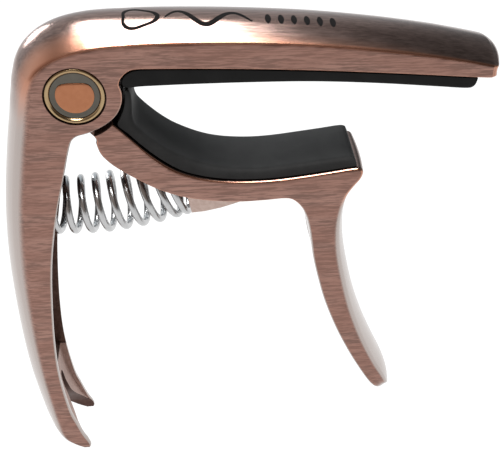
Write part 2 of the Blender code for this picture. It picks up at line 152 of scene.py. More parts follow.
def solid(name, points, faces, sharp=35):
    """A closed piece from millimetre points about the hinge, smooth except at sharp edges."""
    mesh = bpy.data.meshes.new(name)
    mesh.from_pydata([tuple(HINGE + Vector(p) * MM) for p in points], [], faces)
    obj = bpy.data.objects.new(name, mesh)
    bpy.context.scene.collection.objects.link(obj)
    finish_faces(obj, sharp)
    return obj


def finish_faces(obj, sharp):
    """Turn faces outwards and shade them smooth except at sharp edges."""
    bm = bmesh.new()
    bm.from_mesh(obj.data)
    bmesh.ops.remove_doubles(bm, verts=bm.verts, dist=1e-7)
    bmesh.ops.recalc_face_normals(bm, faces=bm.faces)
    for edge in bm.edges:
        edge.smooth = len(edge.link_faces) == 2 and edge.calc_face_angle(0) < math.radians(sharp)
    for face in bm.faces:
        face.smooth = True
    bm.to_mesh(obj.data)
    bm.free()


def skin(name, columns, sharp=35):
    """Closed body whose rings run across the columns, with flat ends."""
    grid = np.stack(columns, 1)
    rings, size = grid.shape[:2]
    faces = []
    for r in range(rings - 1):
        for k in range(size):
            n = (k + 1) % size
            faces.append((r * size + k, r * size + n, (r + 1) * size + n, (r + 1) * size + k))
    faces.append(tuple(range(size)))
    faces.append(tuple((rings - 1) * size + k for k in range(size)))
    return solid(name, grid.reshape(-1, 3).tolist(), faces, sharp)


def casting(name, line, steps, rim):
    """Flat-sided casting with a crowned back, a softened crease and a rounded inner rim."""
    rows = flow(line, steps)
    outer, inner = rows[:, 0:2], rows[:, 2:4]
    back, belly = away(outer, inner), away(inner, outer)
    gap = np.linalg.norm(outer - inner, axis=1)
    crown, half = rows[:, 4], np.minimum(rows[:, 5], HALF_WIDTH)
    soft = np.minimum(np.minimum(rows[:, 6], gap * 0.3), half * 0.3)
    rim = np.minimum(np.minimum(rim, gap * 0.25), half * 0.25)

    def column(base, normal, height, y):
        flat = base + normal * height[:, None]
        return np.stack([flat[:, 0], y, flat[:, 1]], 1)

    columns = [column(inner, belly, rim * 0, -(half - rim * 1.5))]
    for angle in np.radians([0, 22.5, 45, 67.5, 90]):
        reach = half - rim + rim * np.sin(angle)
        columns.append(column(inner, -belly, rim * (1 - np.cos(angle)), -reach))
    columns.append(column(inner, -belly, rim * 1.4, -half))
    columns.append(column(outer, -back, soft * 1.2, -half))
    start = 1 - soft / half
    for b in np.linspace(0, 1, 7):
        y = half * ((1 - b) ** 2 + 2 * b * (1 - b) + b * b * start)
        lift = -soft * (1 - b) ** 2 + b * b * crown * (1 - start ** 2)
        columns.append(column(outer, back, lift, -y))
    for share in (0.97, 0.9, 0.8, 0.68, 0.55, 0.42, 0.28, 0.14):
        t = start * share
        columns.append(column(outer, back, crown * (1 - t * t), -half * t))
    columns.append(column(outer, back, crown, half * 0))
    columns += [c * (1, -1, 1) for c in reversed(columns[:-1])]
    return skin(name, columns)


def prism(name, outline, low, high):
    """Side-plane outline carried across the width from low to high."""
    points = [(x, low, z) for x, z in outline] + [(x, high, z) for x, z in outline]
    n = len(outline)
    faces = [tuple(range(n)), tuple(range(2 * n - 1, n - 1, -1))]
    faces += [(k, (k + 1) % n, n + (k + 1) % n, n + k) for k in range(n)]
    return solid(name, points, faces)


def turned(name, profile, sides=96, hole=False, shape=None):
    """Body turned about the hinge line from radius and Y pairs, closed on the axis unless it has a hole."""
    points = []
    faces = []
    rows = len(profile)
    for s in range(sides):
        a = 2 * math.pi * s / sides
        scale = shape(a) if shape else 1.0
        points += [(r * scale * math.cos(a), y, r * scale * math.sin(a)) for r, y in profile]
    for s in range(sides):
        t = (s + 1) % sides
        for k in range(rows - 1):
            faces.append((s * rows + k, t * rows + k, t * rows + k + 1, s * rows + k + 1))
        if hole:
            faces.append((s * rows + rows - 1, t * rows + rows - 1, t * rows, s * rows))
    if not hole:
        faces.append(tuple(s * rows for s in range(sides)))
        faces.append(tuple(s * rows + rows - 1 for s in range(sides)))
    return solid(name, points, faces)


def peg(name, start, direction, radius, length):
    """Round peg in the side plane that a spring's end sits on."""
    dx, dz = direction
    size = math.hypot(dx, dz)
    dx, dz = dx / size, dz / size
    points = []
    sides = 48
    for step, width in ((0.0, radius), (length - 0.5, radius), (length, radius - 0.5)):
        for s in range(sides):
            a = 2 * math.pi * s / sides
            up = width * math.cos(a)
            x = start[0] + dx * step - dz * up
            z = start[1] + dz * step + dx * up
            points.append((x, width * math.sin(a), z))
    faces = [tuple(range(sides)), tuple(range(3 * sides - 1, 2 * sides - 1, -1))]
    for base in (0, sides):
        faces += [(base + k, base + (k + 1) % sides, base + sides + (k + 1) % sides, base + sides + k)
                  for k in range(sides)]
    return solid(name, points, faces)


def machined(obj, cuts, sharp=35):
    """Cut and add to a casting, one tool after the other, each giving its finish to its faces."""
    for operation, tool, finish in cuts:
        if finish:
            tool.data.materials.append(finish)
        mod = obj.modifiers.new(tool.name, 'BOOLEAN')
        mod.operation = operation
        mod.solver = 'EXACT'
        mod.material_mode = 'TRANSFER'
        mod.object = tool
    mesh = bpy.data.meshes.new_from_object(obj.evaluated_get(bpy.context.evaluated_depsgraph_get()))
    obj.modifiers.clear()
    obj.data = mesh
    for operation, tool, finish in cuts:
        bpy.data.objects.remove(tool, do_unlink=True)
    finish_faces(obj, sharp)
    return obj


class Signal:
    """A node's socket that adds, multiplies and compares like a number."""

    def __init__(self, socket):
        self.socket = socket

    def maths(self, operation, *others):
        values = dict(enumerate((self,) + others))
        return node(self.socket.id_data, 'ShaderNodeMath', {'operation': operation}, values).out()

    def __add__(self, other):
        return self.maths('ADD', other)

    def __sub__(self, other):
        return self.maths('SUBTRACT', other)

    def __mul__(self, other):
        return self.maths('MULTIPLY', other)

    def __truediv__(self, other):
        return self.maths('DIVIDE', other)

    def __rsub__(self, other):
        return self.maths('MULTIPLY_ADD', -1.0, other)

    __radd__ = __add__
    __rmul__ = __mul__

    def ramp(self, low, high, out_low=0.0, out_high=1.0):
        """This value eased from one range to another."""
        made = node(self.socket.id_data, 'ShaderNodeMapRange', {'interpolation_type': 'SMOOTHSTEP'},
                    {'Value': self, 'From Min': low, 'From Max': high, 'To Min': out_low, 'To Max': out_high})
        return made.out()


class Made:
    """A node that has been set up, with its outputs as signals."""

    def __init__(self, item):
        self.item = item

    def out(self, name=0):
        return Signal(self.item.outputs[name])


def node(tree, kind, settings=None, values=None):
    """Add a node of a kind, with its settings and its sockets' values or links."""
    item = tree.nodes.new(kind)
    for key, value in (settings or {}).items():
        setattr(item, key, value)
    for key, value in (values or {}).items():
        socket = item.inputs[key]
        if isinstance(value, Signal):
            tree.links.new(value.socket, socket)
        elif isinstance(value, tuple) and len(value) == 3 and socket.type == 'RGBA':
            socket.default_value = (*value, 1.0)
        else:
            socket.default_value = value
    return Made(item)


def blend_colour(tree, amount, first, second, mode='MIX'):
    """Two colours mixed by an amount."""
    item = tree.nodes.new('ShaderNodeMix')
    item.data_type = 'RGBA'
    item.blend_type = mode
    for socket, value in ((item.inputs[0], amount), (item.inputs[6], first), (item.inputs[7], second)):
        if isinstance(value, Signal):
            tree.links.new(value.socket, socket)
        elif socket.type == 'RGBA':
            socket.default_value = (*value, 1.0)
        else:
            socket.default_value = value
    return Signal(item.outputs[2])


def grain(tree, where, stretch, detail=3.0, rough=0.6, warp=0.0):
    """Noise stretched by a factor along each axis, 0 to 1."""
    scaled = node(tree, 'ShaderNodeVectorMath', {'operation': 'MULTIPLY'}, {0: where, 1: stretch}).out()
    made = node(tree, 'ShaderNodeTexNoise', None,
                {'Vector': scaled, 'Scale': 1.0, 'Detail': detail, 'Roughness': rough, 'Distortion': warp})
    return made.out('Factor' if 'Factor' in made.item.outputs else 0)


def new_material(name, **fixed):
    """A Principled material with its fixed values, its tree and its Object coordinates."""
    mat = bpy.data.materials.new(name)
    mat.use_nodes = True
    tree = mat.node_tree
    shader = tree.nodes["Principled BSDF"]
    for key, value in fixed.items():
        shader.inputs[key.replace("_", " ")].default_value = value
    where = node(tree, 'ShaderNodeTexCoord').out('Object')
    return mat, tree, shader, where


def feed(tree, shader, **signals):
    """Link signals to the shader's sockets."""
    for key, value in signals.items():
        tree.links.new(value.socket, shader.inputs[key.replace("_", " ")])


def bumped(tree, height, distance, strength=1.0):
    """Surface normal from a height signal."""
    values = {'Height': height, 'Distance': distance, 'Strength': strength}
    return node(tree, 'ShaderNodeBump', None, values).out('Normal')


ROSE_SIDE = (0.270, 0.138, 0.106)
ROSE_PALE = (0.410, 0.245, 0.200)
ROSE_GREY = (0.165, 0.105, 0.088)
ROSE_BACK = (0.275, 0.190, 0.165)
# Painted reflection: the pale grey tone the polished back is given lower down.
PALE_REFLECTION_BACK = (0.43, 0.375, 0.35)
# Painted highlight: a warm bright tone on the back where it turns into the crease.
CREASE_HIGHLIGHT = (0.56, 0.27, 0.18)
BACK_DARK = (0.185, 0.125, 0.107)
# Cast skin and painted shade: the dark tones of the plating in the hollows.
CAST_AND_SHADE_DARK = (0.105, 0.060, 0.047)
CAST_AND_SHADE_LIGHT = (0.170, 0.102, 0.082)


def brushed_rose(name, pale_from, pale_to):
    """Copper-rose plating, brushed on the flat sides, its back growing paler between two heights as a painted
    reflection, with a painted highlight along the crease.
    """
    mat, tree, shader, where = new_material(name, Metallic=1.0)
    facing = node(tree, 'ShaderNodeNewGeometry').out('Normal')
    across = node(tree, 'ShaderNodeSeparateXYZ', None, {0: facing}).out('Y').maths('ABSOLUTE')
    side = across.ramp(0.80, 0.985)
    fine = grain(tree, where, (320.0, 4200.0, 4200.0), 3.0, 0.62)
    long = grain(tree, where, (150.0, 1700.0, 1700.0), 3.0, 0.55, 0.4)
    patch = grain(tree, where, (70.0, 330.0, 330.0), 2.0, 0.5)
    lines = fine * 0.6 + long * 0.4
    light = lines.ramp(0.42, 0.60)
    brushed = blend_colour(tree, light, ROSE_GREY, ROSE_PALE)
    brushed = blend_colour(tree, patch.ramp(0.35, 0.65, 0.25, 0.55), brushed, ROSE_SIDE)
    height = node(tree, 'ShaderNodeSeparateXYZ', None, {0: where}).out('Z')
    # Painted reflection: the back is painted paler below the given heights.
    pale_reflection = height.ramp(HINGE.z + pale_to * MM, HINGE.z + pale_from * MM, 1.0, 0.0)
    back = blend_colour(tree, lines.ramp(0.40, 0.60), BACK_DARK, ROSE_BACK)
    # Painted highlight: the back turns warm and bright where its normal leans towards the side.
    back = blend_colour(tree, across.ramp(0.42, 0.70), back, CREASE_HIGHLIGHT)
    back = blend_colour(tree, pale_reflection, back, PALE_REFLECTION_BACK)
    colour = blend_colour(tree, side, back, brushed)
    rough = 0.17 + long * 0.06 + side * (0.17 + light * 0.10)
    ridge = lines * (0.12 + side * 0.88)
    feed(tree, shader, Base_Color=colour, Roughness=rough, Normal=bumped(tree, ridge, 0.00006, 0.5))
    return mat


def cast_rose(name, dark, light, rough, metallic=1.0):
    """The plating where it is left as cast, with a fine pebbled skin, in the dark and light tones each use
    gives it; some uses paint shade or light with these tones.
    """
    mat, tree, shader, where = new_material(name, Metallic=metallic)
    pebble = grain(tree, where, (1400.0, 1400.0, 1400.0), 3.0, 0.55)
    feed(tree, shader, Base_Color=blend_colour(tree, pebble.ramp(0.3, 0.7), dark, light),
         Roughness=rough + pebble * 0.12, Normal=bumped(tree, pebble, 0.00003, 0.4))
    return mat


frame_body = casting("frame_casting", FRAME_LINE, 6, 0.42)
notch = flow(FORK_NOTCH, 4).tolist()
half_fork = [(-w, z) for w, z in reversed(notch[1:])]
fork = prism("fork cutter", notch + half_fork, -20.0, 3.0)
for vert in fork.data.vertices:
    x, y, z = vert.co - HINGE
    vert.co = HINGE + Vector((y, x, z))
fork.data.flip_normals()
# Cast skin and painted shade: the hollows are rough as cast and coloured darker as painted shade.
hollow_cast_and_shade = cast_rose("as-cast rose, painted shade", CAST_AND_SHADE_DARK, CAST_AND_SHADE_LIGHT, 0.42)
# Painted light: the fork's floor face gets a lighter, less metallic copy of the cast plating.
foot_painted_light = cast_rose("fork floor rose, painted light", (0.36, 0.235, 0.195), (0.45, 0.305, 0.26), 0.40, 0.45)
# Painted shade: the fork's notch wall gets a near-black copy of the cast plating.
notch_painted_shade = cast_rose("fork notch rose, painted shade", (0.070, 0.032, 0.023), (0.105, 0.052, 0.039), 0.5, 0.7)
frame_body.data.materials.append(brushed_rose("frame copper-rose", 4.0, -8.0))
cuts = [
    ('DIFFERENCE', prism("channel cutter", GRIP_CHANNEL, -CHANNEL_HALF, CHANNEL_HALF), hollow_cast_and_shade),
    ('DIFFERENCE', prism("foot cutter", FOOT_STEP, -FOOT_HALF, FOOT_HALF), foot_painted_light),
    ('DIFFERENCE', fork, notch_painted_shade),
    ('DIFFERENCE', prism("cheek cutter", CHEEK_SPACE, -CHEEK_INNER, CHEEK_INNER), hollow_cast_and_shade),
    ('DIFFERENCE', turned("eye cutter", [(6.6, -CHEEK_INNER), (6.6, CHEEK_INNER)]), hollow_cast_and_shade),
    ('DIFFERENCE', turned("bore cutter", [(BORE_RADIUS, -9.0), (BORE_RADIUS, 9.0)]), hollow_cast_and_shade),
    ('DIFFERENCE', turned("near seat cutter", [(SEAT_RADIUS, -9.0), (SEAT_RADIUS, -6.2)]), hollow_cast_and_shade),
    ('DIFFERENCE', turned("far seat cutter", [(SEAT_RADIUS, 6.2), (SEAT_RADIUS, 9.0)]), hollow_cast_and_shade),
    ('UNION', peg("grip peg", (-13.4, -27.35), (1.0, 0.0), 3.6, 3.6), hollow_cast_and_shade),
]
machined(frame_body, cuts)
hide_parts("frame")
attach(frame_body, "frame_body")

# Printed mark: a plain ornament in black ink on the polished back of the arm, a plectrum
# outline with a flowing line and six dots.  It is pad printed, a few hundredths thick.
INK_LIFT = 0.012
INK_THICK = 0.02


def stroke(centre, widths):
    """Left and right edges of a stroke along a line of points."""
    centre = np.array(centre, float)
    run = np.gradient(centre, axis=0)
    normal = np.stack([-run[:, 1], run[:, 0]], 1) / np.linalg.norm(run, axis=1)[:, None]
    half = np.array(widths)[:, None] * 0.5
    return centre + normal * half, centre - normal * half


def plectrum(cx, cy, size):
    """Closed outline of a plectrum lying along the arm."""
    out = []
    for a in np.linspace(0, 2 * math.pi, 73)[:-1]:
        r = size * (1 + 0.13 * math.cos(3 * a) + 0.10 * math.cos(a))
        out.append((cx + r * math.cos(a), cy + 0.86 * r * math.sin(a)))
    return out


ink_points = []
ink_faces = []
arm_top = BVHTree.FromObject(frame_body, bpy.context.evaluated_depsgraph_get())


def print_strip(left, right, closed=False):
    """Lay a strip of ink on the arm's back, as a thin closed plate."""
    base = len(ink_points)
    count = len(left)
    for (lx, ly), (rx, ry) in zip(left, right):
        for x, y in ((lx, ly), (rx, ry)):
            hit = arm_top.ray_cast(HINGE + Vector((x, y, 40.0)) * MM, Vector((0, 0, -1)))[0]
            z = (hit.z - HINGE.z) / MM
            ink_points.append((x, y, z + INK_LIFT))
            ink_points.append((x, y, z + INK_LIFT + INK_THICK))
    for k in range(count if closed else count - 1):
        a, b = base + 4 * k, base + 4 * ((k + 1) % count)
        ink_faces.extend([(a + 1, a + 3, b + 3, b + 1), (a, b, b + 2, a + 2), (a, a + 1, b + 1, b),
                          (a + 2, b + 2, b + 3, a + 3)])
    if not closed:
        a, b = base, base + 4 * (count - 1)
        ink_faces.extend([(a, a + 2, a + 3, a + 1), (b, b + 1, b + 3, b + 2)])


loop = plectrum(11.5, -2.0, 3.3)
inner_loop = plectrum(11.5, -2.0, 2.6)
print_strip(loop, inner_loop, closed=True)
shares = np.linspace(0, 1, 90)
wave = [(16.4 + 15.2 * s, -2.2 + 2.0 * math.sin(3.2 * math.pi * s) * (1 - 0.3 * s)) for s in shares]
print_strip(*stroke(wave, [0.22 + 0.8 * math.sin(math.pi * s) ** 0.7 for s in shares]))
for k in range(6):
    dot = [(34.4 + 2.3 * k, -3.5 + 2.7 * s) for s in np.linspace(0, 1, 14)]
    print_strip(*stroke(dot, [0.12 + 0.95 * math.sin(math.pi * s) ** 0.6 for s in np.linspace(0, 1, 14)]))
ink = solid("printed_mark", ink_points, ink_faces)
mat, tree, shader, where = new_material("black ink", Specular_IOR_Level=0.05)
speck = grain(tree, where, (2500.0, 2500.0, 2500.0), 2.0)
feed(tree, shader, Base_Color=blend_colour(tree, speck, (0.003, 0.003, 0.003), (0.007, 0.006, 0.006)),
     Roughness=0.75 + speck * 0.15)
ink.data.materials.append(mat)
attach(ink, "frame_body")

# Upper pad: a straight strip of moulded black silicone pressed under the arm, where it lies
# on the strings.  Its free edges are slightly rounded and its tip end is radiused.
UPPER_PAD_LINE = [
    (8.6, 1.35, 8.4, 2.1), (9.4, 1.2, 8.75, 3.2), (10.4, 1.25, 9.6, 4.05), (11.7, 1.35, 11.0, 4.55),
    (13.8, 1.4, 13.7, 4.6), (20.8, 1.5, 20.8, 4.4), (30.9, 1.5, 30.9, 4.0), (41.8, 1.3, 41.8, 3.4),
    (53.0, 0.6, 53.0, 2.6), (64.2, -0.45, 64.3, 1.7), (68.6, -0.9, 68.8, 1.3), (70.4, -1.0, 70.8, 1.15),
    (71.1, -0.85, 71.5, 1.1), (71.5, -0.45, 71.8, 1.05), (71.7, 0.15, 71.9, 1.02),
]


def moulded_pad(name, line, steps, width, radius, end_radius):
    """Soft strip, square where it meets the metal and rounded along its free edges and ends."""
    rows = flow(line, steps)
    free, metal = rows[:, 0:2], rows[:, 2:4]
    gap = np.linalg.norm(free - metal, axis=1)
    top = (free - metal) / gap[:, None]
    run = np.concatenate([[0], np.cumsum(np.linalg.norm(np.diff(free, axis=0), axis=1))])
    end = np.clip(np.minimum(run, run[-1] - run) / end_radius, 0, 1)
    half = width - end_radius * (1 - np.sqrt(1 - (1 - end) ** 2))
    radius = np.minimum(radius, gap * 0.6)

    def column(base, drop, y):
        flat = base - top * np.reshape(drop, (-1, 1))
        return np.stack([flat[:, 0], y, flat[:, 1]], 1)

    columns = [column(metal, gap * 0, -(half - 0.3)), column(metal, gap * 0, -half)]
    columns.append(column(metal, -(gap - radius) * 0.9, -half))
    for angle in np.radians([0, 15, 30, 45, 60, 75, 90]):
        columns.append(column(free, radius * (1 - np.sin(angle)), -(half - radius * (1 - np.cos(angle)))))
    columns.append(column(free, gap * 0, -(half - radius * 1.3)))
    columns.append(column(free, gap * 0, -half * 0.4))
    columns += [c * (1, -1, 1) for c in reversed(columns)]
    return skin(name, columns, 50)


def silicone(name, dark, light, rough):
    """Matt moulded silicone with a fine bloom and dust-fine specks."""
    mat, tree, shader, where = new_material(name, Specular_IOR_Level=0.14)
    bloom = grain(tree, where, (260.0, 260.0, 260.0), 3.0, 0.55)
    pore = grain(tree, where, (6500.0, 6500.0, 6500.0), 2.0, 0.6)
    colour = blend_colour(tree, bloom.ramp(0.3, 0.7), dark, light)
    feed(tree, shader, Base_Color=colour, Roughness=rough + bloom * 0.08 - pore * 0.05,
         Normal=bumped(tree, pore, 0.00001, 0.35))
    return mat


upper_pad = moulded_pad("string_pad", UPPER_PAD_LINE, 6, 7.2, 0.55, 0.3)
# Painted shade: the upper pad's silicone is a darker copy of the lower pad's, for the shade under the arm.
upper_shaded_silicone = silicone("upper silicone, painted shade", (0.006, 0.006, 0.006), (0.009, 0.009, 0.009), 0.62)
upper_pad.data.materials.append(upper_shaded_silicone)
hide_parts("upper_pad")
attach(upper_pad, "frame_body")

# Jaw lever: knuckle, pad cradle and trigger are the second zinc casting, in the same plating.
# Its flat sides are brushed, its rim round the pad is polished and its trigger is crowned.
JAW_LINE = [
    (3.4, -3.4, 0.7, -5.2, 0.0, 7.5, 0.3), (6.4, -5.9, 2.9, -8.5, 0.0, 7.5, 0.4),
    (8.6, -8.2, 2.95, -9.7, 0.0, 7.5, 0.4), (10.8, -10.6, 3.6, -11.9, 0.0, 7.5, 0.5),
    (12.5, -12.3, 5.1, -13.85, 0.0, 7.5, 0.7), (14.2, -13.8, 7.1, -15.6, 0.0, 7.5, 0.8),
    (16.2, -15.35, 10.0, -17.7, 0.0, 7.5, 0.9), (18.9, -16.8, 13.6, -19.95, 0.0, 7.5, 0.8),
    (22.5, -18.0, 18.0, -21.8, 0.0, 7.5, 0.75), (26.5, -18.7, 23.0, -22.9, 0.0, 7.5, 0.75),
    (31.0, -18.95, 28.5, -23.45, 0.0, 7.5, 0.75), (36.0, -18.8, 33.5, -23.35, 0.0, 7.5, 0.75),
    (41.5, -18.2, 37.2, -23.1, 0.0, 7.5, 0.75), (46.5, -17.5, 38.9, -23.35, 0.0, 7.5, 0.75),
    (50.2, -16.95, 40.1, -24.3, 0.0, 7.5, 0.9), (51.7, -16.95, 41.0, -25.5, 0.1, 7.5, 0.8),
    (52.35, -17.9, 41.5, -26.6, 0.4, 7.5, 0.8), (51.9, -19.4, 41.95, -27.8, 0.8, 7.5, 0.8),
    (50.6, -21.2, 42.3, -29.2, 1.2, 7.5, 0.9), (49.3, -23.4, 42.7, -31.2, 1.5, 7.5, 1.0),
    (48.5, -26.6, 43.1, -34.0, 1.7, 7.5, 1.1), (48.15, -30.8, 43.6, -37.6, 1.8, 7.5, 1.2),
    (48.5, -36.4, 44.7, -42.6, 1.8, 7.5, 1.2), (49.8, -43.2, 46.4, -48.9, 1.7, 7.5, 1.2),
    (51.9, -51.5, 49.2, -56.6, 1.6, 7.4, 1.2), (54.7, -59.6, 52.5, -63.9, 1.5, 7.3, 1.1),
    (57.8, -66.6, 55.8, -70.1, 1.3, 7.2, 1.0), (60.0, -70.8, 57.8, -73.4, 1.0, 6.9, 0.9),
    (61.3, -73.6, 59.3, -75.2, 0.8, 6.1, 0.7), (62.0, -75.4, 60.7, -76.4, 0.5, 4.5, 0.4),
    (62.3, -76.5, 61.5, -77.0, 0.2, 2.6, 0.2),
]
SPRING_POCKET = [
    (7.6, -23.0), (8.4, -16.7), (12.6, -17.0), (17.2, -17.6), (18.1, -18.6), (20.2, -29.0), (7.6, -29.0),
]
LUG = [
    (18.3, -19.6), (19.75, -26.7), (22.2, -26.5), (25.4, -25.8), (27.9, -25.0), (32.0, -23.6),
    (33.0, -21.0), (24.0, -20.0),
]
TONGUE = [(0.0, -5.0), (1.1, -8.3), (3.1, -10.6), (5.4, -10.4), (4.0, -4.0)]
TRIGGER_HOLLOW = [
    (38.0, -36.0), (44.6, -36.0), (46.4, -38.5), (47.3, -43.0), (48.7, -48.0), (50.8, -54.0),
    (53.4, -60.2), (55.2, -64.0), (54.2, -65.6), (44.0, -68.0),
]
KNUCKLE_HALF = 4.4
POCKET_HALF = 6.35

jaw = casting("jaw_casting", JAW_LINE, 6, 0.42)
lug_finish = cast_rose("satin rose", (0.42, 0.31, 0.27), (0.50, 0.385, 0.34), 0.30)
jaw.data.materials.append(brushed_rose("jaw copper-rose", -22.0, -27.0))
cuts = [
    ('UNION', turned("knuckle", [(6.2, -6.0), (6.2, 6.0)]), hollow_cast_and_shade),
    ('DIFFERENCE', turned("near shoulder cutter", [(8.5, -9.0), (8.5, -KNUCKLE_HALF)], 128), hollow_cast_and_shade),
    ('DIFFERENCE', turned("far shoulder cutter", [(8.5, KNUCKLE_HALF), (8.5, 9.0)], 128), hollow_cast_and_shade),
    ('DIFFERENCE', turned("knuckle bore cutter", [(BORE_RADIUS, -9.0), (BORE_RADIUS, 9.0)]), hollow_cast_and_shade),
    ('UNION', prism("tongue", TONGUE, -KNUCKLE_HALF + 0.1, KNUCKLE_HALF - 0.1), hollow_cast_and_shade),
    ('UNION', prism("lug", LUG, -5.5, 5.5), lug_finish),
    ('DIFFERENCE', prism("pocket cutter", SPRING_POCKET, -POCKET_HALF, POCKET_HALF), hollow_cast_and_shade),
    ('UNION', peg("jaw peg", (19.4, -22.2), (-0.97, -0.22), 3.2, 3.4), hollow_cast_and_shade),
    ('DIFFERENCE', prism("trigger cutter", TRIGGER_HOLLOW, -5.3, 5.3), hollow_cast_and_shade),
]
machined(jaw, cuts)
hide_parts("jaw_lever")
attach(jaw, "jaw_body")

# Lower pad: a thicker curved silicone pad that lies on the cradle and takes the back of the
# neck.  It is moulded with a generous radius along both long edges.
LOWER_PAD_LINE = [
    (9.35, 0.75, 8.8, 0.75), (9.8, -0.4, 8.8, -0.7), (9.85, -2.6, 8.45, -2.8), (9.75, -4.9, 7.7, -4.7),
    (10.15, -6.6, 7.1, -6.25), (11.3, -8.1, 8.8, -8.0), (13.2, -10.0, 11.0, -10.4),
    (15.6, -12.0, 14.35, -13.55), (18.4, -13.7, 17.9, -16.05), (22.0, -15.3, 21.5, -17.45),
    (25.5, -16.25, 25.2, -18.25), (29.2, -16.7, 29.0, -18.65), (33.0, -16.8, 33.0, -18.7),
    (37.0, -16.5, 37.0, -18.5), (41.0, -16.0, 41.0, -18.05), (45.5, -15.45, 45.7, -17.4),
    (49.2, -14.95, 49.5, -16.85), (50.5, -15.15, 50.9, -16.7), (51.0, -15.9, 51.2, -16.6),
]

lower_pad = moulded_pad("neck_pad", LOWER_PAD_LINE, 6, 6.85, 1.25, 0.8)
lower_finish = silicone("lower silicone", (0.018, 0.018, 0.018), (0.023, 0.023, 0.023), 0.62)
lower_pad.data.materials.append(lower_finish)
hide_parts("lower_pad")
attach(lower_pad, "jaw_body")

# Pivot: a steel pin through the cheeks and the knuckle, with a nylon spacer at each side.
# They are hidden behind the caps, so the plain turned pieces stay and take a finish.
pin = frame["nodes"]["pivot_pin"]
mat, tree, shader, where = new_material("turned steel", Metallic=1.0)
turning = grain(tree, where, (300.0, 9000.0, 300.0), 2.0)
feed(tree, shader, Base_Color=blend_colour(tree, turning, (0.42, 0.42, 0.43), (0.60, 0.60, 0.60)),
     Roughness=0.22 + turning * 0.15, Normal=bumped(tree, turning, 0.00002, 0.3))
pin.material_slots[0].material = mat
mat, tree, shader, where = new_material("nylon")
milky = grain(tree, where, (700.0, 700.0, 700.0), 3.0)
feed(tree, shader, Base_Color=blend_colour(tree, milky, (0.62, 0.60, 0.52), (0.74, 0.72, 0.66)),
     Roughness=0.45 + milky * 0.15)
for name in ("spacer_near", "spacer_far"):
    frame["nodes"][name].material_slots[0].material = mat

# Pivot caps: a button is pressed into each cheek over the pin.  A rolled golden rim holds a
# shallow dish coloured dark grey-green as a painted reflection, with an inlay coloured copper
# as a painted reflection, flat along its upper side.
RIM_TONE = ((0.34, 0.235, 0.125), (0.44, 0.32, 0.18))
# Painted reflections: the dark grey-green of the dish and the copper of the inlay.
DISH_REFLECTION_TONE = ((0.088, 0.080, 0.068), (0.120, 0.110, 0.093))
INLAY_REFLECTION_TONE = ((0.34, 0.135, 0.068), (0.43, 0.185, 0.098))


def spun_metal(name, tones, rough):
    """Bright metal with faint circular turning marks."""
    mat, tree, shader, where = new_material(name, Metallic=1.0)
    centred = node(tree, 'ShaderNodeVectorMath', {'operation': 'SUBTRACT'}, {0: where, 1: tuple(HINGE)}).out()
    parts = node(tree, 'ShaderNodeSeparateXYZ', None, {0: centred})
    reach = (parts.out('X') * parts.out('X') + parts.out('Z') * parts.out('Z')).maths('SQRT')
    rings = (reach * 42000.0).maths('SINE') * 0.5 + 0.5
    cloud = grain(tree, where, (900.0, 900.0, 900.0), 3.0)
    feed(tree, shader, Base_Color=blend_colour(tree, cloud, *tones), Roughness=rough + cloud * 0.08,
         Normal=bumped(tree, rings, 0.000002, 0.2))
    return mat


def flat_topped(angle):
    """Outline of the inlay's painted reflection: a circle cut flat along its upper side, with eased corners.
    """
    rise = max(math.sin(angle), 1e-3)
    flat = 0.70 / rise
    return (1.0 ** -10 + flat ** -10) ** -0.1


rim_finish = spun_metal("gold-toned rim", RIM_TONE, 0.16)
dish_reflection_finish = spun_metal("dish, painted reflection", DISH_REFLECTION_TONE, 0.20)
inlay_reflection_finish = spun_metal("inlay, painted reflection", INLAY_REFLECTION_TONE, 0.26)
for side, place in ((-1, "near"), (1, "far")):
    rim_profile = [(4.45, 6.35), (5.4, 6.35), (5.4, 7.12), (5.34, 7.28), (5.2, 7.40), (5.0, 7.455),
                   (4.86, 7.44), (4.72, 7.36), (4.58, 7.22), (4.48, 7.08), (4.45, 6.95)]
    dish_profile = [(4.4, 6.35), (4.4, 7.0), (4.3, 7.02), (4.0, 6.97), (3.4, 6.90), (2.6, 6.85),
                    (1.4, 6.82), (0.3, 6.81)]
    inlay_profile = [(3.45, 6.93), (3.42, 6.99), (3.34, 7.03), (2.9, 7.04), (2.2, 7.02), (1.2, 6.99),
                     (0.3, 6.98)]
    for kind, profile, finish, hole, shape in (("rim", rim_profile, rim_finish, True, None),
                                               ("dish", dish_profile, dish_reflection_finish, False, None),
                                               ("plug", inlay_profile, inlay_reflection_finish, False, flat_topped)):
        cap = turned(f"pivot_cap_{kind}_{place}", [(r, side * y) for r, y in profile], 96, hole, shape)
        cap.data.materials.append(finish)
        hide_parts(f"cap_{kind}_{place}")
        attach(cap, "frame_body")

# Spring: a compression spring of plated round wire between the grip's peg and the cradle's
# peg, wound right-handed with a closed turn at each end.  Its axis is bowed in a fixed curve.
WIRE_RADIUS = 0.7
COIL_RADIUS = 5.35
COIL_PITCH = 3.1
SPRING_START = -11.2
SPRING_TURNS = 10.4
FIRST_TURN = 1.65
TOP_OF_TURN = -1.15
SPRING_PHASE = 2 * math.pi * ((SPRING_START + FIRST_TURN - TOP_OF_TURN) / COIL_PITCH)
POINTS_PER_TURN = 40

